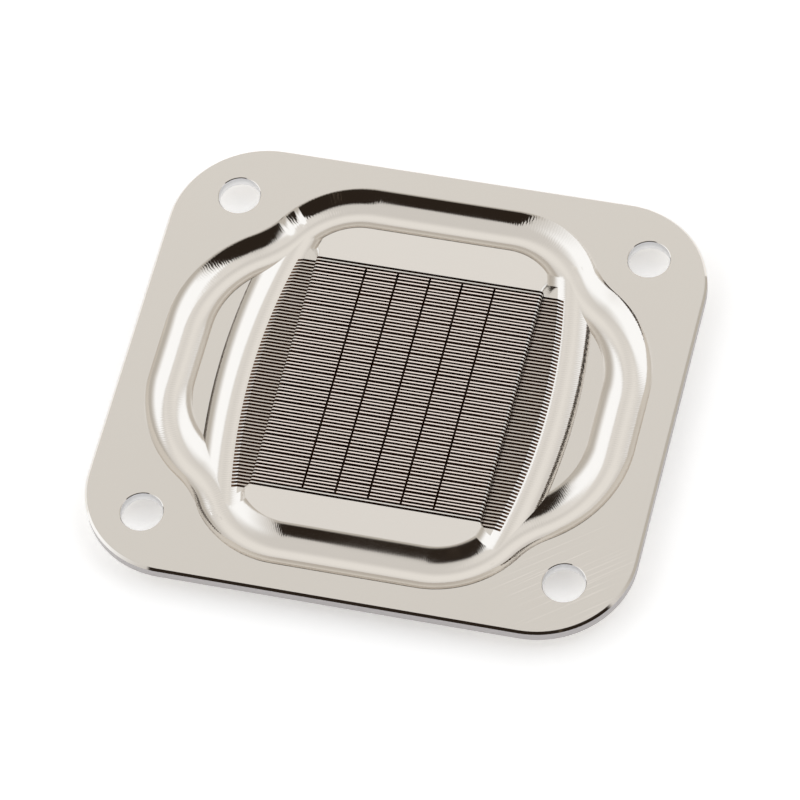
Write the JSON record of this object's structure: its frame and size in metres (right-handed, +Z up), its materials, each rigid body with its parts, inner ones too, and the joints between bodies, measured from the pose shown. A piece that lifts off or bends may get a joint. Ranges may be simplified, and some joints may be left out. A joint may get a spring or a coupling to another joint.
{
  "type": "liquid cooling cold plate",
  "caption": "Rounded rectangular liquid cooling cold plate with micro fins, round-bottomed coolant channels, corner screw holes and a raised contact pad underneath.",
  "frame": {"origin": "middle of the flat contact face underneath", "axes": "+Z up out of the finned face, X along the fins and the longer side, Y across the fins"},
  "size_m": [0.0586, 0.0534, 0.003],
  "materials": {
    "nickel": "satin nickel plating, brighter in the milled channels"
  },
  "bodies": {
    "root": {"cold_plate": "nickel"}
  },
  "joints": []
}
